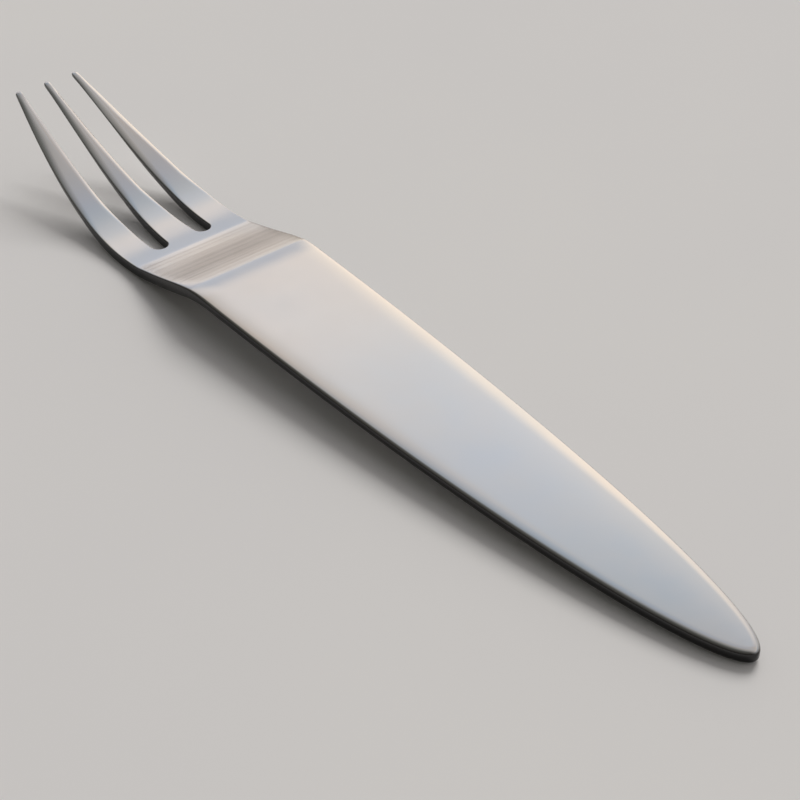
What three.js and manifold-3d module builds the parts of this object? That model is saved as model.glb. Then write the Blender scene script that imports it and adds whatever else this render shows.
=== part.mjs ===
// A dinner fork with three tines, pressed from one plate of stainless steel.
//
// Lengths are in millimetres. X runs from the butt of the handle to the tips of the tines,
// Y runs across the fork and Z runs up from the table. The origin lies on the table,
// under the middle of the fork's length. The fork is one body of metal: its meshes are the
// regions of that body, and they meet face to face on planes across its length.

import * as THREE from 'three';
import { mergeVertices } from 'three/addons/utils/BufferGeometryUtils.js';
import Module from 'manifold-3d';

// Lengths along the fork
const HANDLE_LENGTH = 123.5; // from the butt to the crease
const NECK_LENGTH = 16; // from the crease to the foot of the step
const ROOT_LENGTH = 5.8; // from the foot of the step to where the tines part
const TINE_LENGTH = 45.2; // from where the tines part to their tips

// Widths across the fork
const HANDLE_WIDTH = 26.2; // at the crease, where the handle is broadest
const HEAD_WIDTH = 25.4; // where the tines part
const SLOT_WIDTH = 3.3; // at the round closed end of each slot
const SLOT_SPACING = 9.75; // between the middles of the two slots, at their closed ends
const TIP_WIDTH = 1.2; // of each tine, just before its round tip
const TIP_SPACING = 6.4; // between the middles of neighbouring tips
const BUTT_FLAT = 0.4; // small flat at the very end of the handle

// Heights of the top face above the table
const CREASE_HEIGHT = 7.4;
const TIP_HEIGHT = 16.4;

// Thickness of the metal, straight down, and the rounding of its edges
const PLATE_THICKNESS = 2.5; // of the handle
const HEAD_THICKNESS = 2; // where the tines part
const TIP_THICKNESS = 1;
const RIM_RADIUS = 1.1; // outer edges of the handle, neck and head
const SLOT_EDGE_RADIUS = 0.4; // edges of the tines along the slots
const TIP_ROUND = 1.2; // length over which each tip is rounded off

// Slopes of the top face
const NECK_SLOPE = THREE.MathUtils.degToRad(-14.3); // just past the crease
const TIP_SLOPE = THREE.MathUtils.degToRad(24); // at the tips

// How late the edges of the tines turn inwards on their way to the tips, 1 being straight
const OUTER_TINE_BOW = 1.9;
const MIDDLE_TINE_BOW = 1;

// Fineness of the facets
const HANDLE_STEPS = 30;
const NECK_STEPS = 10;
const ROOT_STEPS = 4;
const TINE_STEPS = 16;
const TIP_STEPS = 4;
const CORNER_STEPS = 3;
const SLOT_END_STEPS = 10;

// Shares that keep every rounding within the metal that it rounds
const LARGEST_ROUNDING = 0.92; // of half a section's width or height
const TIP_CAP = 0.25; // the last section of a tip, of the section where its rounding starts

// Places along X
const BUTT_X = -(HANDLE_LENGTH + NECK_LENGTH + ROOT_LENGTH + TINE_LENGTH) / 2;
const CREASE_X = BUTT_X + HANDLE_LENGTH;
const ROOT_X = CREASE_X + NECK_LENGTH;
const PARTING_X = ROOT_X + ROOT_LENGTH;
const TIP_X = PARTING_X + TINE_LENGTH;

// Side view of the top face: a straight handle, a fall from the crease to the belly,
// which lies where the tines part, and a sweep up to the tips
const fall = risingCurve(CREASE_X, CREASE_HEIGHT, NECK_SLOPE, PARTING_X, HEAD_THICKNESS, 0);
const sweep = risingCurve(PARTING_X, HEAD_THICKNESS, 0, TIP_X, TIP_HEIGHT, TIP_SLOPE);

// The metal thins smoothly from the crease to where the tines part, and again to their tips
const headTaper = risingCurve(CREASE_X, PLATE_THICKNESS, 0, PARTING_X, HEAD_THICKNESS, 0);
const tineTaper = risingCurve(PARTING_X, HEAD_THICKNESS, 0, TIP_X, TIP_THICKNESS, 0);

// A curve of heights between two places along X, with the slope at each end.
// Its control points are spaced evenly along X, so X grows evenly with the curve's parameter.
function risingCurve(startX, startHeight, startSlope, endX, endHeight, endSlope) {
  const third = (endX - startX) / 3;
  return new THREE.CubicBezierCurve(
    new THREE.Vector2(startX, startHeight),
    new THREE.Vector2(startX + third, startHeight + third * Math.tan(startSlope)),
    new THREE.Vector2(endX - third, endHeight - third * Math.tan(endSlope)),
    new THREE.Vector2(endX, endHeight),
  );
}

function heightOn(curve, x) {
  const along = (x - curve.v0.x) / (curve.v3.x - curve.v0.x);
  return curve.getPoint(along).y;
}

function topHeight(x) {
  if (x <= CREASE_X) {
    const along = (x - BUTT_X) / HANDLE_LENGTH;
    return THREE.MathUtils.lerp(PLATE_THICKNESS, CREASE_HEIGHT, along);
  }
  return x <= PARTING_X ? heightOn(fall, x) : heightOn(sweep, x);
}

function thicknessAt(x) {
  if (x <= CREASE_X) return PLATE_THICKNESS;
  return x <= PARTING_X ? heightOn(headTaper, x) : heightOn(tineTaper, x);
}

// The handle is half an ellipse in plan, from the butt to the crease
function handleHalfWidth(x) {
  const along = (CREASE_X - x) / HANDLE_LENGTH;
  const half = (HANDLE_WIDTH / 2) * Math.sqrt(Math.max(0, 1 - along * along));
  return Math.max(BUTT_FLAT / 2, half);
}

function headHalfWidth(x) {
  const along = (x - CREASE_X) / (PARTING_X - CREASE_X);
  return THREE.MathUtils.lerp(HANDLE_WIDTH, HEAD_WIDTH, along) / 2;
}

function roundingWithin(radius, halfWidth, halfHeight) {
  return Math.min(radius, LARGEST_ROUNDING * halfWidth, LARGEST_ROUNDING * halfHeight);
}

// One section across the fork: a rectangle with rounded corners, as a loop of points.
// The edges at the greater and the lesser Y have their own radii.
function roundedSection(x, lowY, highY, bottom, top, lowRadius, highRadius) {
  const halfWidth = (highY - lowY) / 2;
  const halfHeight = (top - bottom) / 2;
  const low = roundingWithin(lowRadius, halfWidth, halfHeight);
  const high = roundingWithin(highRadius, halfWidth, halfHeight);
  const corners = [
    { y: highY - high, z: top - high, radius: high },
    { y: lowY + low, z: top - low, radius: low },
    { y: lowY + low, z: bottom + low, radius: low },
    { y: highY - high, z: bottom + high, radius: high },
  ];
  const loop = [];
  corners.forEach(({ y, z, radius }, quarter) => {
    for (let step = 0; step <= CORNER_STEPS; step += 1) {
      const angle = (quarter + step / CORNER_STEPS) * Math.PI / 2;
      loop.push(new THREE.Vector3(x, y + radius * Math.cos(angle), z + radius * Math.sin(angle)));
    }
  });
  return loop;
}

// A closed solid through a row of sections with as many points each, from lesser to greater X
function loft(sections) {
  const count = sections[0].length;
  const index = [];
  for (let ring = 0; ring + 1 < sections.length; ring += 1) {
    for (let point = 0; point < count; point += 1) {
      const here = ring * count + point;
      const next = ring * count + (point + 1) % count;
      index.push(here, next, next + count);
      index.push(here, next + count, here + count);
    }
  }
  const last = (sections.length - 1) * count;
  for (let point = 1; point + 1 < count; point += 1) {
    index.push(0, point + 1, point);
    index.push(last, last + point, last + point + 1);
  }
  const geometry = new THREE.BufferGeometry().setFromPoints(sections.flat());
  geometry.setIndex(index);
  geometry.computeVertexNormals();
  return geometry;
}

// Places from start to end in equal steps, both ends included
function evenPlaces(start, end, steps) {
  return Array.from({ length: steps + 1 }, (_, step) => THREE.MathUtils.lerp(start, end, step / steps));
}

// The handle: a flat plate whose rim is rounded along its sides and round its butt
function handleGeometry() {
  const rim = roundingWithin(RIM_RADIUS, HANDLE_WIDTH / 2, PLATE_THICKNESS / 2);
  const sections = evenPlaces(0, Math.PI / 2, HANDLE_STEPS).map((angle) => {
    const x = CREASE_X - HANDLE_LENGTH * Math.cos(angle);
    const half = handleHalfWidth(x);
    const fromFullHeight = Math.max(0, rim - (x - BUTT_X));
    const inset = rim - Math.sqrt(rim * rim - fromFullHeight * fromFullHeight);
    const top = topHeight(x);
    return roundedSection(x, -half, half, top - PLATE_THICKNESS + inset, top - inset, rim, rim);
  });
  return loft(sections);
}

// A stretch of the full-width plate between the crease and the tines
function plateGeometry(startX, endX, steps) {
  const sections = evenPlaces(startX, endX, steps).map((x) => {
    const half = headHalfWidth(x);
    const top = topHeight(x);
    return roundedSection(x, -half, half, top - thicknessAt(x), top, RIM_RADIUS, RIM_RADIUS);
  });
  return loft(sections);
}

// The upright cutter that leaves the round closed end of one slot.
// It runs past the metal by the slot's width along X and by the plate's thickness along Z.
function slotEndGeometry(middleY) {
  const radius = SLOT_WIDTH / 2;
  const outline = new THREE.Shape();
  outline.absarc(PARTING_X, middleY, radius, Math.PI / 2, 3 * Math.PI / 2, false);
  outline.lineTo(PARTING_X + SLOT_WIDTH, middleY - radius);
  outline.lineTo(PARTING_X + SLOT_WIDTH, middleY + radius);
  const depth = topHeight(ROOT_X) + 2 * PLATE_THICKNESS;
  const geometry = new THREE.ExtrudeGeometry(outline, {
    depth,
    bevelEnabled: false,
    curveSegments: SLOT_END_STEPS,
  });
  return geometry.translate(0, 0, -PLATE_THICKNESS);
}

// Cutting one closed solid by another
const wasm = await Module();
wasm.setup();

function solidFrom(geometry) {
  const bare = geometry.clone();
  bare.deleteAttribute('normal');
  bare.deleteAttribute('uv');
  const merged = mergeVertices(bare);
  const mesh = new wasm.Mesh({
    numProp: 3,
    vertProperties: new Float32Array(merged.attributes.position.array),
    triVerts: new Uint32Array(merged.index.array),
  });
  return new wasm.Manifold(mesh);
}

function geometryFrom(solid) {
  const mesh = solid.getMesh();
  const geometry = new THREE.BufferGeometry();
  geometry.setAttribute('position', new THREE.BufferAttribute(mesh.vertProperties, 3));
  geometry.setIndex(new THREE.BufferAttribute(mesh.triVerts, 1));
  geometry.computeVertexNormals();
  return geometry;
}

// The root of the head: the plate up to where the tines part, with the round ends of both slots
function rootGeometry() {
  const slotEnds = [-SLOT_SPACING / 2, SLOT_SPACING / 2].map(slotEndGeometry);
  const plate = solidFrom(plateGeometry(ROOT_X, PARTING_X, ROOT_STEPS));
  const cut = slotEnds.reduce((solid, slotEnd) => solid.subtract(solidFrom(slotEnd)), plate);
  return geometryFrom(cut);
}

// One edge of a tine in plan: from its place at the root to its place at the tip
function edgePlace(edge, x) {
  const along = (x - PARTING_X) / TINE_LENGTH;
  return THREE.MathUtils.lerp(edge.root, edge.tip, along ** edge.bow);
}

// One tine, between the edge at its lesser Y and the edge at its greater Y
function tineGeometry(lowEdge, highEdge) {
  const roundStart = TIP_X - TIP_ROUND;
  const shaft = evenPlaces(PARTING_X, roundStart, TINE_STEPS).map((x) => ({ x, size: 1 }));
  const tip = evenPlaces(0, 1, TIP_STEPS).slice(1).map((along) => ({
    x: roundStart + TIP_ROUND * along,
    size: Math.sqrt(1 - along * along * (1 - TIP_CAP * TIP_CAP)),
  }));
  const sections = [...shaft, ...tip].map(({ x, size }) => {
    const low = edgePlace(lowEdge, x);
    const high = edgePlace(highEdge, x);
    const middle = (low + high) / 2;
    const half = size * (high - low) / 2;
    const thickness = thicknessAt(x);
    const level = topHeight(x) - thickness / 2;
    const halfHeight = size * thickness / 2;
    return roundedSection(
      x, middle - half, middle + half, level - halfHeight, level + halfHeight,
      size * lowEdge.radius, size * highEdge.radius,
    );
  });
  return loft(sections);
}

// The edges of the tines on the side of greater Y, and the same edges mirrored
const outerEdge = {
  root: HEAD_WIDTH / 2,
  tip: TIP_SPACING + TIP_WIDTH / 2,
  bow: OUTER_TINE_BOW,
  radius: RIM_RADIUS,
};
const innerEdge = {
  root: (SLOT_SPACING + SLOT_WIDTH) / 2,
  tip: TIP_SPACING - TIP_WIDTH / 2,
  bow: OUTER_TINE_BOW,
  radius: SLOT_EDGE_RADIUS,
};
const middleEdge = {
  root: (SLOT_SPACING - SLOT_WIDTH) / 2,
  tip: TIP_WIDTH / 2,
  bow: MIDDLE_TINE_BOW,
  radius: SLOT_EDGE_RADIUS,
};

function mirrored(edge) {
  return { ...edge, root: -edge.root, tip: -edge.tip };
}

// The fork
const SATIN_STEEL = { color: 0xb8bbc0, roughness: 0.36, metalness: 1 };
const POLISHED_STEEL = { color: 0xbdb8b1, roughness: 0.24, metalness: 1 };

function region(name, geometry, finish) {
  const mesh = new THREE.Mesh(geometry, new THREE.MeshStandardMaterial(finish));
  mesh.name = name;
  return mesh;
}

const fork = new THREE.Group();
fork.name = 'dinner_fork';
fork.add(
  region('handle', handleGeometry(), SATIN_STEEL),
  region('neck', plateGeometry(CREASE_X, ROOT_X, NECK_STEPS), POLISHED_STEEL),
  region('head_root', rootGeometry(), SATIN_STEEL),
  region('tine_left', tineGeometry(innerEdge, outerEdge), SATIN_STEEL),
  region('tine_middle', tineGeometry(mirrored(middleEdge), middleEdge), SATIN_STEEL),
  region('tine_right', tineGeometry(mirrored(outerEdge), mirrored(innerEdge)), SATIN_STEEL),
);

export default fork;
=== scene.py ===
"""The looks of a dinner fork with three tines: its fine surface, its steel, the light and the camera.

Everything is in metres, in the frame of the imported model. X runs from the butt of the handle to the tips,
Y across the fork and Z up from the floor. The fork is one skin of metal, shared out among its regions.
"""

import math
from collections import defaultdict, namedtuple

import bmesh
import bpy
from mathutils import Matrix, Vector
from mathutils.geometry import delaunay_2d_cdt


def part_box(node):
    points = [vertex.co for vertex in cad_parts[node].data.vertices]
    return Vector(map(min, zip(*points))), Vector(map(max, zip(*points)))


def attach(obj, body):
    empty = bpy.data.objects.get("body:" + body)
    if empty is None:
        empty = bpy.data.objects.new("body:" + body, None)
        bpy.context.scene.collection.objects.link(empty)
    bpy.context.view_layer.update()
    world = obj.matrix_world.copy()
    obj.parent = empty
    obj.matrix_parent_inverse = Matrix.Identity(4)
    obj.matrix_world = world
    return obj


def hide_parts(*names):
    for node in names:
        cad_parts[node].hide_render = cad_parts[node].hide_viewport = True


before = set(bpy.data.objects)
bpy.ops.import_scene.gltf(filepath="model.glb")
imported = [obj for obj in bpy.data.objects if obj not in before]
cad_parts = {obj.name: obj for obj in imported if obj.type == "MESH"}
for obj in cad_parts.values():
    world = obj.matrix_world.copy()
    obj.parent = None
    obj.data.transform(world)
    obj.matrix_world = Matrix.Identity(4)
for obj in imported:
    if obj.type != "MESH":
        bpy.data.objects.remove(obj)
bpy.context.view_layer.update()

MM = 0.001

# Places along the fork and its main sizes, from the frame
handle_low, handle_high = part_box("handle")
BUTT_X = handle_low.x
CREASE_X = handle_high.x
ROOT_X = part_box("neck")[1].x
PARTING_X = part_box("head_root")[1].x
TIP_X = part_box("tine_middle")[1].x
HANDLE_LENGTH = CREASE_X - BUTT_X
NECK_LENGTH = ROOT_X - CREASE_X
TINE_LENGTH = TIP_X - PARTING_X
HANDLE_HALF = handle_high.y
HEAD_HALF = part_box("tine_left")[1].y
MIDDLE_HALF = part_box("tine_middle")[1].y
CREASE_HEIGHT = handle_high.z

# Sizes of the solids that their boxes don't tell
PLATE_THICKNESS = 2.5 * MM
HEAD_THICKNESS = 2 * MM
TIP_THICKNESS = 1 * MM
TIP_HEIGHT = 16.4 * MM
SLOT_WIDTH = 3.3 * MM
TIP_SPACING = 6.4 * MM
TIP_WIDTH = 1.2 * MM
TIP_ROUND = 1.25 * MM
TIP_CAP = 0.25
NECK_SLOPE = math.tan(math.radians(-16))
PARTING_RISE = 0.06 * MM  # how far above the floor the underside still is where the tines part
PARTING_HEIGHT = HEAD_THICKNESS + PARTING_RISE
PARTING_SLOPE = math.tan(math.radians(-2.2))  # the plate is lowest just past where the tines part
TIP_SLOPE = math.tan(math.radians(24))
OUTER_TINE_BOW = 1.9
SLOT_MIDDLE = MIDDLE_HALF + SLOT_WIDTH / 2

# The folds of the plate
SHOULDER_LENGTH = 5.0 * MM  # the handle rolls over towards the crease
SHOULDER_DROP = 0.45 * MM
CREASE_REACH = 0.35 * MM  # the crease itself is rounded over this much on either side
FOOT_X = ROOT_X + 1.6 * MM
FOOT_SAG = 0.11 * MM  # a faint fold at the foot of the step
FOOT_REACH = 3.7 * MM
FOOT_ROUND = 0.4 * MM

# Places along the fork where the forms of its face and rim change
LOW_HANDLE_X = BUTT_X + HANDLE_LENGTH * 0.2
HANDLE_MIDDLE_X = BUTT_X + HANDLE_LENGTH / 2
HIGH_HANDLE_X = BUTT_X + HANDLE_LENGTH * 0.75
SHOULDER_X = CREASE_X - SHOULDER_LENGTH
STEP_X = CREASE_X + SHOULDER_LENGTH
LOW_TINE_X = PARTING_X + TINE_LENGTH * 0.2
MID_TINE_X = PARTING_X + TINE_LENGTH * 0.35
LEAN_X = PARTING_X + TINE_LENGTH * 0.45
HIGH_TINE_X = PARTING_X + TINE_LENGTH * 0.75
NEAR_TIP_X = TIP_X - 2 * TIP_ROUND
TIP_FLAT_X = TIP_X - TIP_ROUND / 2  # the very tips are flatter on top than the tines before them

# The handle's top is faintly crowned: how far it leans at its rim
CROWN_TILT = [
    (BUTT_X, math.radians(2.5)),
    (HANDLE_MIDDLE_X, math.radians(2)),
    (SHOULDER_X, 0.0),
]

# The outer tines lean outwards a little towards their tips
TINE_LEAN = [
    (LEAN_X, 0.0),
    (HIGH_TINE_X, math.radians(5)),
]

# The rim: a gentle roll of the face, then a round edge down to the wall
ROLL_STEPS = 6
EDGE_STEPS = 6
LARGEST_SHARE = 0.94  # of the metal's half width or half thickness that a rim may take

# How slowly the roll sets in, and how steep it is where the round edge begins
ROLL_POWER = [
    (MID_TINE_X, 2.4),
    (HIGH_TINE_X, 1.8),
]
ROLL_TILT = [
    (BUTT_X, math.radians(11)),
    (SHOULDER_X, math.radians(9)),
    (STEP_X, math.radians(3)),
    (ROOT_X, math.radians(2)),
    (PARTING_X, math.radians(4)),
    (LOW_TINE_X, math.radians(8)),
    (MID_TINE_X, math.radians(18)),
    (HIGH_TINE_X, math.radians(30)),
    (NEAR_TIP_X, math.radians(31.5)),
    (TIP_FLAT_X, math.radians(12)),
]

# How wide the roll is and how round the edge, along the slots and along the outside of the fork
TINE_ROLL = [
    (LOW_TINE_X, 0.5 * MM),
    (MID_TINE_X, 1.2 * MM),
    (HIGH_TINE_X, 1.4 * MM),
    (TIP_X, 0.6 * MM),
]
SLOT_ROLL = [
    (PARTING_X, 0.3 * MM),
    *TINE_ROLL,
]
OUTER_ROLL = [
    (BUTT_X, 0.7 * MM),
    (LOW_HANDLE_X, 1.4 * MM),
    (HANDLE_MIDDLE_X, 3.2 * MM),
    (HIGH_HANDLE_X, 4.2 * MM),
    (SHOULDER_X, 4.6 * MM),
    (STEP_X, 2.2 * MM),
    (ROOT_X, 0.8 * MM),
    (PARTING_X, 0.4 * MM),
    *TINE_ROLL,
]
SLOT_EDGE = [
    (PARTING_X, 0.25 * MM),
    (LOW_TINE_X, 0.25 * MM),
    (MID_TINE_X, 0.45 * MM),
    (HIGH_TINE_X, 0.2 * MM),
]
OUTER_EDGE = [
    (BUTT_X, 0.8 * MM),
    (HANDLE_MIDDLE_X, 0.7 * MM),
    (SHOULDER_X, 0.65 * MM),
    (STEP_X, 0.35 * MM),
    *SLOT_EDGE,
]

# Painted shade on the round edges and cut walls, which stands in for a dark reflection: how much of the
# faces' brightness they lose, more on the low handle than on the raised tines, and where across the round
# edge that sets in
WALL_PAINTED_SHADE = [
    (ROOT_X, 0.93),
    (PARTING_X, 0.88),
    (MID_TINE_X, 0.79),
]
WALL_FADE = (0.25, 0.68)

# Fineness of the skin
BUTT_STEPS = 56
FOLD_STEP = 0.1 * MM
SHOULDER_STEP = 0.35 * MM
PLATE_STEP = 0.4 * MM
TINE_STEPS = 60
TIP_STEPS = 12
SLOT_END_STEPS = 18
CROSS_STEP = 1.6 * MM
ROOT_GRID = 0.8 * MM
INSIDE_ONLY = 1  # the kind of covering that leaves out the triangles beyond the outline
SAME_PLACE = 1e-6  # places nearer than this, in millimetres, are one

# A point of the outline: its place, the way into the metal, how far that goes, the width of the roll, the
# radius of the edge and, where a line of the mesh runs across the metal from here, the name of that line
RimPoint = namedtuple("RimPoint", "x y inward_x inward_y room roll edge line")


def between(start, end, share):
    """The value that lies the given share of the way from start to end."""
    return start + (end - start) * share


def on_stops(stops, x):
    """The value at x on straight lines between the stops, each an x and a value."""
    for (start_x, start), (end_x, end) in zip(stops, stops[1:]):
        if x <= end_x:
            return between(start, end, max(0.0, (x - start_x) / (end_x - start_x)))
    return stops[-1][1]


def places(start, end, step):
    """Places from start up to, but not including, end, in equal steps of about the given length."""
    count = max(1, round((end - start) / step))
    return [between(start, end, number / count) for number in range(count)]


# Side view of the fork
def rising_height(x, start_x, start, start_slope, end_x, end, end_slope):
    """Height at x on a cubic curve between two places, with the slope at each end."""
    third = (end_x - start_x) / 3
    along = (x - start_x) / (end_x - start_x)
    back = 1 - along
    first = start + third * start_slope
    second = end - third * end_slope
    return back**3 * start + 3 * back**2 * along * first + 3 * back * along**2 * second + along**3 * end


def shoulder_drop(x):
    """How far the face lies below the sharp plate, where the handle rolls over towards the crease."""
    before = (x - CREASE_X + SHOULDER_LENGTH) / SHOULDER_LENGTH
    after = (ROOT_X - x) / NECK_LENGTH
    return SHOULDER_DROP * max(0.0, min(before, after)) ** 2


def crease_rounding(x):
    """What rounding the crease adds to the height; it is below zero on this ridge."""
    offset = x - CREASE_X
    if abs(offset) >= CREASE_REACH:
        return 0.0
    slope_before = (CREASE_HEIGHT - PLATE_THICKNESS) / HANDLE_LENGTH - 2 * SHOULDER_DROP / SHOULDER_LENGTH
    slope_after = NECK_SLOPE + 2 * SHOULDER_DROP / NECK_LENGTH
    bend = (offset + CREASE_REACH) ** 2 / (4 * CREASE_REACH) - max(0.0, offset)
    return (slope_after - slope_before) * bend


def foot_fold(x):
    """How far the faint fold at the foot of the step lies below the smooth curve."""
    return FOOT_SAG * max(0.0, 1 - math.hypot(x - FOOT_X, FOOT_ROUND) / FOOT_REACH) ** 2


def plate_top(x):
    """Height of the top face, before the tips are rounded off."""
    if x <= CREASE_X:
        straight = between(PLATE_THICKNESS, CREASE_HEIGHT, (x - BUTT_X) / HANDLE_LENGTH)
    elif x <= PARTING_X:
        straight = rising_height(
            x, CREASE_X, CREASE_HEIGHT, NECK_SLOPE, PARTING_X, PARTING_HEIGHT, PARTING_SLOPE
        )
    else:
        straight = rising_height(x, PARTING_X, PARTING_HEIGHT, PARTING_SLOPE, TIP_X, TIP_HEIGHT, TIP_SLOPE)
    return straight - shoulder_drop(x) + crease_rounding(x) - foot_fold(x)


def thickness_at(x):
    """Thickness of the metal, straight down: even in the handle, then thinner towards the tips."""
    if x <= CREASE_X:
        return PLATE_THICKNESS
    if x <= PARTING_X:
        return rising_height(x, CREASE_X, PLATE_THICKNESS, 0, PARTING_X, HEAD_THICKNESS, 0)
    return rising_height(x, PARTING_X, HEAD_THICKNESS, 0, TIP_X, TIP_THICKNESS, 0)


def faces_at(x):
    """Heights of the bottom and the top face at x."""
    thickness = thickness_at(x)
    level = plate_top(x) - thickness / 2
    into_tip = min(1.0, max(0.0, (x - TIP_X + TIP_ROUND) / TIP_ROUND))
    half = math.sqrt(1 - into_tip**2 * (1 - TIP_CAP**2)) * thickness / 2
    return level - half, level + half


def handle_half(x):
    """Half of the handle's width at x, on its half ellipse."""
    return HANDLE_HALF * math.sqrt(1 - min(1.0, (CREASE_X - x) / HANDLE_LENGTH) ** 2)


def crown_drop(x, y):
    """How far the crowned top of the handle lies below its middle."""
    if x >= CREASE_X:
        return 0.0
    return math.tan(on_stops(CROWN_TILT, x)) * y**2 / (2 * max(abs(y), handle_half(x), MM))


def lean_rise(x, y):
    """How much higher an outer tine lies at y than on its middle line, because it leans outwards."""
    if x <= PARTING_X or abs(y) <= SLOT_MIDDLE:
        return 0.0
    root = (HEAD_HALF + SLOT_MIDDLE + SLOT_WIDTH / 2) / 2
    middle = between(root, TIP_SPACING, ((x - PARTING_X) / TINE_LENGTH) ** OUTER_TINE_BOW)
    return math.tan(on_stops(TINE_LEAN, x)) * (middle - abs(y))


def height_at(x, y, side):
    """Height of the bottom (side 0) or the top (side 1) at a place inside the rim."""
    drop = crown_drop(x, y) if side == 1 else 0.0
    return faces_at(x)[side] - drop + lean_rise(x, y)


# Outline of the fork in plan, round the half at lesser Y, from the butt to the tip of the middle tine
def rim_point(x, y, inward_x, inward_y, room, rolls, edges, line=None):
    """A point of the outline, with its roll and edge taken from their stops."""
    length = math.hypot(inward_x, inward_y)
    return RimPoint(
        x, y, inward_x / length, inward_y / length, room, on_stops(rolls, x), on_stops(edges, x), line
    )


def handle_side():
    """The handle is half an ellipse, from the butt to the crease."""
    shoulder_angle = math.acos(SHOULDER_LENGTH / HANDLE_LENGTH)
    angles = [shoulder_angle * step / BUTT_STEPS for step in range(BUTT_STEPS)]
    stations = [CREASE_X - HANDLE_LENGTH * math.cos(angle) for angle in angles]
    stations += places(SHOULDER_X, CREASE_X - CREASE_REACH, SHOULDER_STEP)
    stations += places(CREASE_X - CREASE_REACH, CREASE_X, FOLD_STEP)
    end_radius = HANDLE_HALF**2 / HANDLE_LENGTH
    points = []
    for x in stations:
        cosine = min(1.0, (CREASE_X - x) / HANDLE_LENGTH)
        sine = math.sqrt(1 - cosine**2)
        half = HANDLE_HALF * sine
        line = ("plate", x) if points else None
        room = max(end_radius, half)
        inward = (cosine / HANDLE_LENGTH, sine / HANDLE_HALF)
        points.append(rim_point(x, -half, *inward, room, OUTER_ROLL, OUTER_EDGE, line))
    return points


def head_side():
    """The neck and the root, whose sides are almost straight."""
    slots_start = PARTING_X - SLOT_WIDTH / 2 - ROOT_GRID
    stations = places(CREASE_X, CREASE_X + CREASE_REACH, FOLD_STEP)
    stations += places(CREASE_X + CREASE_REACH, ROOT_X, PLATE_STEP)
    stations += places(ROOT_X, PARTING_X, PLATE_STEP)
    points = []
    for x in stations:
        half = between(HANDLE_HALF, HEAD_HALF, (x - CREASE_X) / (PARTING_X - CREASE_X))
        line = ("plate", x) if x < slots_start else None
        points.append(rim_point(x, -half, 0, 1, half, OUTER_ROLL, OUTER_EDGE, line))
    return points


def edge_at(x, root, tip, bow):
    """Place across the fork, and slope, of a tine's edge at x."""
    along = (x - PARTING_X) / TINE_LENGTH
    slope = (tip - root) / TINE_LENGTH * bow * along ** (bow - 1)
    return between(root, tip, along**bow), slope


def tip_round(centre_x, centre_y, half, angles):
    """The round end of a tine, through the given angles."""
    length = TIP_X - centre_x
    points = []
    for angle in angles:
        cosine, sine = math.cos(angle), math.sin(angle)
        x = centre_x + length * cosine
        y = centre_y + half * sine
        points.append(rim_point(x, y, -cosine / length, -sine / half, half, OUTER_ROLL, OUTER_EDGE))
    return points


def outer_tine():
    """The outer tine at lesser Y: out along its outer edge, round its tip and back along the slot."""
    outer = (-HEAD_HALF, -TIP_SPACING - TIP_WIDTH / 2, OUTER_TINE_BOW)
    inner = (-SLOT_MIDDLE - SLOT_WIDTH / 2, -TIP_SPACING + TIP_WIDTH / 2, OUTER_TINE_BOW)
    end_x = TIP_X - TIP_WIDTH / 2
    stations = places(PARTING_X, end_x, (end_x - PARTING_X) / TINE_STEPS)
    out, back = [], []
    for x in stations:
        outer_y, outer_slope = edge_at(x, *outer)
        inner_y, inner_slope = edge_at(x, *inner)
        room = (inner_y - outer_y) / 2
        line = ("outer tine", x)
        out.append(rim_point(x, outer_y, -outer_slope, 1, room, OUTER_ROLL, OUTER_EDGE, line))
        back.append(rim_point(x, inner_y, inner_slope, -1, room, SLOT_ROLL, SLOT_EDGE, line))
    outer_y, inner_y = edge_at(end_x, *outer)[0], edge_at(end_x, *inner)[0]
    angles = [math.pi * (step / TIP_STEPS - 0.5) for step in range(TIP_STEPS + 1)]
    tip = tip_round(end_x, (outer_y + inner_y) / 2, (inner_y - outer_y) / 2, angles)
    return out + tip + back[::-1]


def slot_end():
    """The round closed end of the slot, between the outer tine and the middle one, without its two ends."""
    radius = SLOT_WIDTH / 2
    points = []
    for step in range(1, SLOT_END_STEPS):
        angle = math.pi * (1.5 - step / SLOT_END_STEPS)
        cosine, sine = math.cos(angle), math.sin(angle)
        x = PARTING_X + radius * cosine
        y = radius * sine - SLOT_MIDDLE
        points.append(rim_point(x, y, cosine, sine, radius, SLOT_ROLL, SLOT_EDGE))
    return points


def middle_tine():
    """The edge of the middle tine at lesser Y, and half of its tip."""
    edge = (-MIDDLE_HALF, -TIP_WIDTH / 2, 1)
    end_x = TIP_X - TIP_WIDTH / 2
    points = []
    for x in places(PARTING_X, end_x, (end_x - PARTING_X) / TINE_STEPS):
        y, slope = edge_at(x, *edge)
        square = 0 if x == PARTING_X else -slope
        points.append(rim_point(x, y, square, 1, -y, SLOT_ROLL, SLOT_EDGE, ("middle tine", x)))
    angles = [math.pi * (step / TIP_STEPS - 0.5) for step in range(TIP_STEPS // 2 + 1)]
    half = -edge_at(end_x, *edge)[0]
    return points + tip_round(end_x, 0, half, angles)


def whole_outline():
    """The outline of the whole fork, as a closed loop that keeps the metal on its left."""
    half = handle_side() + head_side() + outer_tine() + slot_end() + middle_tine()
    mirrored = []
    for point in half[-2:0:-1]:
        line = ("mirrored tine", point.x) if point.line and point.line[0] == "outer tine" else point.line
        mirrored.append(point._replace(y=-point.y, inward_y=-point.inward_y, line=line))
    return half + mirrored


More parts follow.
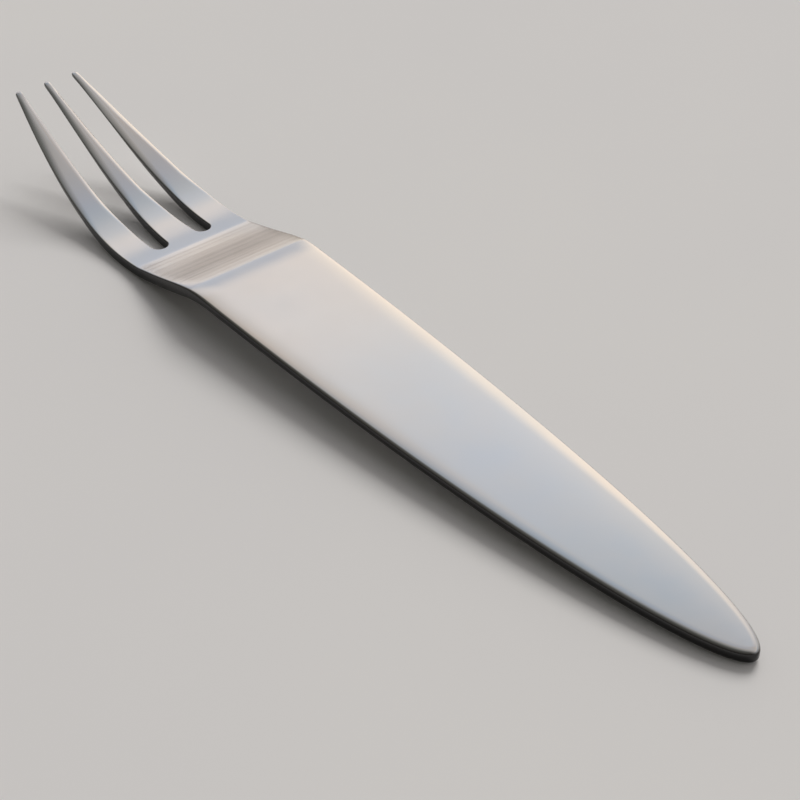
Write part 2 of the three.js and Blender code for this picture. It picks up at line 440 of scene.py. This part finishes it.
# The skin
def rim_profile(point):
    """Steps from the flat face to the wall: how far inside the outline, and how far below the face."""
    tilt = on_stops(ROLL_TILT, point.x)
    power = on_stops(ROLL_POWER, point.x)
    fall = point.roll * math.tan(tilt) / power
    reach = point.roll + point.edge * (1 - math.sin(tilt))
    depth = fall + point.edge * math.cos(tilt)
    bottom, top = faces_at(point.x)
    narrowing = min(1.0, LARGEST_SHARE * point.room / reach)
    flattening = min(1.0, LARGEST_SHARE * (top - bottom) / 2 / depth)
    steps = []
    for step in range(ROLL_STEPS):
        share = step / ROLL_STEPS
        steps.append((reach - point.roll * share, fall * share**power))
    for step in range(EDGE_STEPS + 1):
        angle = between(tilt, math.pi / 2, step / EDGE_STEPS)
        drop = fall + point.edge * (math.cos(tilt) - math.cos(angle))
        steps.append((point.edge * (1 - math.sin(angle)), drop))
    return [(inset * narrowing, drop * flattening) for inset, drop in steps]


def painted_wall_shade(x, across):
    """Painted shade: how much darker than the face the metal is painted, by how far across the round edge
    it lies.
    """
    start, end = WALL_FADE
    return on_stops(WALL_PAINTED_SHADE, x) * min(1.0, max(0.0, (across - start) / (end - start)))


def rim_rings(skin, outline, side):
    """Rings of vertices from the flat of the bottom (side 0) or the top (side 1) out to the wall."""
    wall = skin.verts.layers.float["wall"]
    profiles = [rim_profile(point) for point in outline]
    rings = []
    for step in range(len(profiles[0])):
        ring = []
        for point, profile in zip(outline, profiles):
            inset, drop = profile[step]
            x = point.x + point.inward_x * inset
            y = point.y + point.inward_y * inset
            height = height_at(x, y, side) + (drop if side == 0 else -drop)
            vertex = skin.verts.new((x, y, height))
            # painted shade: darkens the round edge and the wall, by the place across the edge and along the
            # fork
            vertex[wall] = painted_wall_shade(x, (step - ROLL_STEPS) / EDGE_STEPS)
            ring.append(vertex)
        rings.append(ring)
    return rings


def cross_lines(outline):
    """Pairs of places in the outline that face each other across the metal."""
    pairs = defaultdict(list)
    for number, point in enumerate(outline):
        if point.line:
            pairs[point.line].append(number)
    return [pair for pair in pairs.values() if len(pair) == 2]


def root_places():
    """Spread places in the root, clear of its sides and of the ends of the slots."""
    clear = SLOT_WIDTH / 2 + ROOT_GRID
    half = HEAD_HALF - 2 * ROOT_GRID
    found = []
    for x in places(PARTING_X - clear, PARTING_X, ROOT_GRID)[1:]:
        for y in places(-half, half + ROOT_GRID, ROOT_GRID):
            from_slot = math.hypot(x - PARTING_X, abs(y) - SLOT_MIDDLE)
            if from_slot > clear:
                found.append((x, y))
    return found


def cover(skin, ring, pairs, side):
    """Covers the flat inside the innermost ring with triangles that follow the lines across."""
    spots = [(vertex.co.x, vertex.co.y) for vertex in ring]
    edges = [(number, (number + 1) % len(ring)) for number in range(len(ring))]
    for start, end in pairs:
        (start_x, start_y), (end_x, end_y) = spots[start], spots[end]
        count = max(1, round(abs(end_y - start_y) / CROSS_STEP))
        chain = [start]
        for step in range(1, count):
            chain.append(len(spots))
            spots.append((between(start_x, end_x, step / count), between(start_y, end_y, step / count)))
        chain.append(end)
        edges += zip(chain, chain[1:])
    spots += root_places()
    flat = [Vector((x / MM, y / MM)) for x, y in spots]
    found, _, triangles, sources, _, _ = delaunay_2d_cdt(flat, edges, [], INSIDE_ONLY, SAME_PLACE)
    vertices = []
    for place, source in zip(found, sources):
        if source and source[0] < len(ring):
            vertices.append(ring[source[0]])
        else:
            x, y = place * MM
            vertices.append(skin.verts.new((x, y, height_at(x, y, side))))
    for triangle in triangles:
        skin.faces.new([vertices[number] for number in triangle])


def fork_skin():
    """The whole surface of the fork, closed."""
    outline = whole_outline()
    pairs = cross_lines(outline)
    skin = bmesh.new()
    # the wall layer holds the painted shade of each vertex
    skin.verts.layers.float.new("wall")
    top = rim_rings(skin, outline, 1)
    bottom = rim_rings(skin, outline, 0)
    rings = top + bottom[::-1]
    for inner, outer in zip(rings, rings[1:]):
        for number in range(len(outline)):
            after = (number + 1) % len(outline)
            skin.faces.new((inner[number], outer[number], outer[after], inner[after]))
    cover(skin, top[0], pairs, 1)
    cover(skin, bottom[0], pairs, 0)
    bmesh.ops.recalc_face_normals(skin, faces=skin.faces[:])
    skin.normal_update()
    return skin


def region_of(face):
    """Name of the region of the fork that holds a face."""
    middle = face.calc_center_median()
    if middle.x < CREASE_X:
        return "handle"
    if middle.x < ROOT_X:
        return "neck"
    if middle.x < PARTING_X:
        return "head_root"
    if abs(middle.y) < SLOT_MIDDLE:
        return "tine_middle"
    return "tine_left" if middle.y > 0 else "tine_right"


def region_piece(skin, node, material):
    """One region of the skin, closed where it meets its neighbours and shaded as part of the whole."""
    part = skin.copy()
    shading = part.verts.layers.float_vector.new("shading")
    for vertex in part.verts:
        vertex[shading] = vertex.normal
    bmesh.ops.delete(part, geom=[face for face in part.faces if region_of(face) != node], context="FACES")
    skin_faces = len(part.faces)
    bmesh.ops.holes_fill(part, edges=[edge for edge in part.edges if edge.is_boundary])
    bmesh.ops.recalc_face_normals(part, faces=part.faces[:])
    normals = []
    for number, face in enumerate(part.faces):
        face.smooth = True
        for vertex in face.verts:
            normals.append((vertex[shading] if number < skin_faces else face.normal).copy())
    part.verts.layers.float_vector.remove(shading)
    mesh = bpy.data.meshes.new(node + "_skin")
    part.to_mesh(mesh)
    part.free()
    mesh.normals_split_custom_set(normals)
    mesh.materials.append(material)
    piece = bpy.data.objects.new(node + "_skin", mesh)
    bpy.context.scene.collection.objects.link(piece)
    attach(piece, "root")
    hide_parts(node)


# Materials

# Clouds in the steel's tint, its grain and its smudges. The scales are waves to the metre
CLOUD_SCALE = 42.0
CLOUD_DETAIL = 3.0
CLOUD_RANGE = (0.35, 0.65)
GRAIN_DETAIL = 3.0
SMUDGE_SCALE = 160.0
SMUDGE_DETAIL = 5.0
SMUDGE_RANGE = (0.3, 0.7)
STEEL_ROUGHNESS = (0.15, 0.20)

# The floor: faint clouds on a plain pale ground
FLOOR_CLOUD_SCALE = 9.0
FLOOR_CLOUD_DETAIL = 4.0
FLOOR_TINTS = [(0.3, (0.79, 0.79, 0.80)), (0.7, (0.81, 0.81, 0.81))]
FLOOR_ROUGHNESS = 0.85
FLOOR_SHINE = 0.2


def add_node(tree, kind, settings=None, **inputs):
    """Adds a node. An input that is a socket is linked, and any other value is set."""
    node = tree.nodes.new(kind)
    for name, value in (settings or {}).items():
        setattr(node, name, value)
    for name, value in inputs.items():
        socket = node.inputs[name.replace("_", " ")]
        if isinstance(value, bpy.types.NodeSocket):
            tree.links.new(value, socket)
        else:
            socket.default_value = value
    return node


def new_material(name):
    material = bpy.data.materials.new(name)
    material.use_nodes = True
    tree = material.node_tree
    return material, tree, tree.nodes["Principled BSDF"]


def add_ramp(tree, factor, stops):
    """A ramp of colours through the stops, each a position and a colour."""
    ramp = tree.nodes.new("ShaderNodeValToRGB")
    elements = ramp.color_ramp.elements
    elements.remove(elements[1])
    (elements[0].position, first), *others = stops
    elements[0].color = (*first, 1)
    for position, colour in others:
        elements.new(position).color = (*colour, 1)
    tree.links.new(factor, ramp.inputs["Fac"])
    return ramp.outputs["Color"]


def add_noise(tree, place, scale, detail):
    """Soft noise between 0 and 1 at a place."""
    return add_node(tree, "ShaderNodeTexNoise", Vector=place, Scale=scale, Detail=detail).outputs["Fac"]


def add_range(tree, value, source, target):
    """A value moved from the source range to the target range, and kept within that."""
    source_low, source_high = source
    target_low, target_high = target
    moved = add_node(
        tree,
        "ShaderNodeMapRange",
        Value=value,
        From_Min=source_low,
        From_Max=source_high,
        To_Min=target_low,
        To_Max=target_high,
    )
    return moved.outputs["Result"]


def steel(name, cool, warm, grain, grain_height):
    """Stainless steel. Its grain gives the waves to the metre along X, Y and Z, and how high they are."""
    material, tree, shader = new_material(name)
    shader.inputs["Metallic"].default_value = 1.0
    place = add_node(tree, "ShaderNodeTexCoord").outputs["Object"]
    clouds = add_noise(tree, place, CLOUD_SCALE, CLOUD_DETAIL)
    tint = add_ramp(tree, clouds, zip(CLOUD_RANGE, (cool, warm)))
    # painted shade: the wall attribute darkens the base colour on the round edges and cut walls
    wall = add_node(tree, "ShaderNodeAttribute", {"attribute_name": "wall"}).outputs["Fac"]
    painted_shade = add_range(tree, wall, (0.0, 1.0), (1.0, 0.0))
    colour = add_node(tree, "ShaderNodeVectorMath", {"operation": "SCALE"}, Vector=tint, Scale=painted_shade)
    tree.links.new(colour.outputs["Vector"], shader.inputs["Base Color"])
    smudges = add_noise(tree, place, SMUDGE_SCALE, SMUDGE_DETAIL)
    tree.links.new(add_range(tree, smudges, SMUDGE_RANGE, STEEL_ROUGHNESS), shader.inputs["Roughness"])
    stretched = add_node(tree, "ShaderNodeMapping", Vector=place, Scale=grain).outputs["Vector"]
    lines = add_noise(tree, stretched, 1.0, GRAIN_DETAIL)
    bump = add_node(tree, "ShaderNodeBump", Height=lines, Strength=1.0, Distance=grain_height)
    tree.links.new(bump.outputs["Normal"], shader.inputs["Normal"])
    return material


def pale_floor_material():
    material, tree, shader = new_material("pale_floor")
    place = add_node(tree, "ShaderNodeTexCoord").outputs["Object"]
    clouds = add_noise(tree, place, FLOOR_CLOUD_SCALE, FLOOR_CLOUD_DETAIL)
    tree.links.new(add_ramp(tree, clouds, FLOOR_TINTS), shader.inputs["Base Color"])
    shader.inputs["Roughness"].default_value = FLOOR_ROUGHNESS
    shader.inputs["Specular IOR Level"].default_value = FLOOR_SHINE
    return material


# Stage: the floor, the surroundings, the lamp and the camera
FLOOR_HALF = 3.0

# What the steel mirrors. The bright side goes by the Z of a direction, and its tint by the X
BRIGHT_HEADING = math.radians(-90)
BRIGHT_LIMITS = (-0.24, 0.40)  # cosines from that heading where the dim side ends and the bright one begins
BRIGHT_SIDE = [
    (0.00, (0.36, 0.36, 0.34)),
    (0.10, (0.42, 0.41, 0.39)),
    (0.20, (1.22, 1.20, 1.12)),
    (0.27, (0.64, 0.72, 0.82)),
    (0.46, (0.64, 0.72, 0.82)),
    (0.54, (0.95, 0.96, 0.97)),
    (0.62, (1.02, 1.02, 1.02)),
    (0.70, (0.92, 0.92, 0.93)),
    (0.735, (0.88, 0.88, 0.87)),
    (0.76, (1.02, 0.91, 0.80)),
    (0.79, (0.93, 0.86, 0.80)),
    (0.82, (0.83, 0.83, 0.83)),
    (0.86, (0.80, 0.83, 0.87)),
    (0.89, (0.83, 0.84, 0.86)),
    (1.00, (0.80, 0.80, 0.80)),
]
ALONG_TINT = [
    (0.17, (0.67, 0.63, 0.60)),
    (0.25, (0.595, 0.58, 0.59)),
    (0.32, (0.61, 0.61, 0.66)),
    (0.40, (0.575, 0.645, 0.725)),
    (0.45, (0.625, 0.71, 0.81)),
    (0.49, (0.73, 0.78, 0.87)),
    (0.53, (0.77, 0.80, 0.87)),
    (0.57, (0.88, 0.87, 0.86)),
    (0.60, (1.02, 0.93, 0.87)),
    (0.63, (1.04, 0.94, 0.87)),
    (0.66, (0.95, 0.88, 0.85)),
    (0.78, (0.95, 0.88, 0.85)),
    (0.82, (1.04, 0.96, 0.92)),
    (0.87, (1.03, 0.95, 0.95)),
]
DIM_SIDE = [
    (0.00, (0.10, 0.09, 0.08)),
    (0.85, (0.11, 0.11, 0.10)),
    (1.00, (0.20, 0.20, 0.19)),
]
GLOW_COLOUR = (1.30, 1.14, 0.98, 1)
GLOW_HEADING = math.radians(-66)
GLOW_RISE = math.radians(14)
GLOW_LIMITS = (0.85, 0.94)  # cosines from the middle of the glow at its rim and where it is full
GLOW_ALONG = (0.25, 0.43)  # the X of a direction where the glow is faintest and strongest
GLOW_STRENGTH = (0.15, 1.0)


def towards(heading, rise):
    """Direction with that heading from +X and that rise above the floor."""
    return (math.cos(heading) * math.cos(rise), math.sin(heading) * math.cos(rise), math.sin(rise))


def add_share(tree, direction, aim, limits):
    """How far a direction points along aim: 0 where their cosine is at the lower limit, 1 at the higher."""
    cosine = add_node(tree, "ShaderNodeVectorMath", {"operation": "DOT_PRODUCT"})
    tree.links.new(direction, cosine.inputs[0])
    cosine.inputs[1].default_value = aim
    return add_range(tree, cosine.outputs["Value"], limits, (0.0, 1.0))


def add_mix(tree, share, first, second):
    """Mixes two shaders."""
    mix = add_node(tree, "ShaderNodeMixShader")
    for socket, source in zip(mix.inputs, (share, first, second)):
        tree.links.new(source, socket)
    return mix.outputs["Shader"]


def light_world():
    """A soft studio: bright on the far right with a warm glow low down, and dim on the near left."""
    world = bpy.data.worlds.new("studio")
    bpy.context.scene.world = world
    world.use_nodes = True
    tree = world.node_tree
    direction = add_node(tree, "ShaderNodeTexCoord").outputs["Generated"]
    along = add_node(tree, "ShaderNodeSeparateXYZ", Vector=direction)
    height = along.outputs["Z"]
    tinted = add_node(tree, "ShaderNodeVectorMath", {"operation": "MULTIPLY"})
    tree.links.new(add_ramp(tree, height, BRIGHT_SIDE), tinted.inputs[0])
    tree.links.new(add_ramp(tree, along.outputs["X"], ALONG_TINT), tinted.inputs[1])
    bright = add_node(tree, "ShaderNodeBackground", Color=tinted.outputs["Vector"])
    dim = add_node(tree, "ShaderNodeBackground", Color=add_ramp(tree, height, DIM_SIDE))
    glow = add_node(tree, "ShaderNodeBackground", Color=GLOW_COLOUR)
    bright_share = add_share(tree, direction, towards(BRIGHT_HEADING, 0), BRIGHT_LIMITS)
    glow_share = add_share(tree, direction, towards(GLOW_HEADING, GLOW_RISE), GLOW_LIMITS)
    glow_strength = add_range(tree, along.outputs["X"], GLOW_ALONG, GLOW_STRENGTH)
    faded_glow = add_node(tree, "ShaderNodeMath", {"operation": "MULTIPLY"})
    tree.links.new(glow_share, faded_glow.inputs[0])
    tree.links.new(glow_strength, faded_glow.inputs[1])
    studio = add_mix(tree, bright_share, dim.outputs["Background"], bright.outputs["Background"])
    studio = add_mix(tree, faded_glow.outputs["Value"], studio, glow.outputs["Background"])
    tree.links.new(studio, tree.nodes["World Output"].inputs["Surface"])


KEY_HEADING = math.radians(-62)
KEY_RISE = math.radians(38)
KEY_DISTANCE = 14.0
KEY_SIZE = 6.2
KEY_POWER = 1180.0
KEY_COLOUR = (1.0, 0.97, 0.93)


def hang_key_light():
    """A large soft lamp on the far right, which gives the fork its shadow. The steel doesn't mirror it."""
    lamp = bpy.data.lights.new("key", "AREA")
    lamp.size = KEY_SIZE
    lamp.energy = KEY_POWER
    lamp.color = KEY_COLOUR
    holder = bpy.data.objects.new("key", lamp)
    aim = Vector(towards(KEY_HEADING, KEY_RISE))
    holder.location = aim * KEY_DISTANCE
    holder.rotation_euler = aim.to_track_quat("Z", "Y").to_euler()
    holder.visible_glossy = False
    bpy.context.scene.collection.objects.link(holder)


def lay_floor():
    mesh = bpy.data.meshes.new("floor")
    corners = [(-FLOOR_HALF, -FLOOR_HALF, 0), (FLOOR_HALF, -FLOOR_HALF, 0)]
    corners += [(FLOOR_HALF, FLOOR_HALF, 0), (-FLOOR_HALF, FLOOR_HALF, 0)]
    mesh.from_pydata(corners, [], [(0, 1, 2, 3)])
    mesh.materials.append(pale_floor_material())
    floor = bpy.data.objects.new("floor", mesh)
    bpy.context.scene.collection.objects.link(floor)


# The camera's place and angles, and its focal length on a sensor as wide as the square frame
CAMERA_PLACE = (-219.6 * MM, 171.2 * MM, 204.8 * MM)
CAMERA_TILT = math.radians(37.371)
CAMERA_HEADING = math.radians(-129.871)
CAMERA_LENS = 89.18
CAMERA_NEAREST = 0.01


def set_camera():
    camera = bpy.data.cameras.new("camera")
    camera.lens = CAMERA_LENS
    camera.clip_start = CAMERA_NEAREST
    holder = bpy.data.objects.new("camera", camera)
    holder.location = CAMERA_PLACE
    holder.rotation_euler = (math.pi / 2 - CAMERA_TILT, 0, CAMERA_HEADING)
    bpy.context.scene.collection.objects.link(holder)
    bpy.context.scene.camera = holder


bpy.context.scene.view_settings.view_transform = "Standard"
set_camera()
light_world()
hang_key_light()
lay_floor()

satin = steel(
    "satin_steel",
    cool=(0.67, 0.685, 0.70),
    warm=(0.71, 0.70, 0.69),
    grain=(25, 6000, 6000),
    grain_height=0.6e-6,
)
polished = steel(
    "polished_steel",
    cool=(0.62, 0.63, 0.64),
    warm=(0.68, 0.66, 0.63),
    grain=(1100, 10, 1100),
    grain_height=26e-6,
)
skin = fork_skin()
for node in ("handle", "head_root", "tine_left", "tine_middle", "tine_right"):
    region_piece(skin, node, satin)
region_piece(skin, "neck", polished)
skin.free()
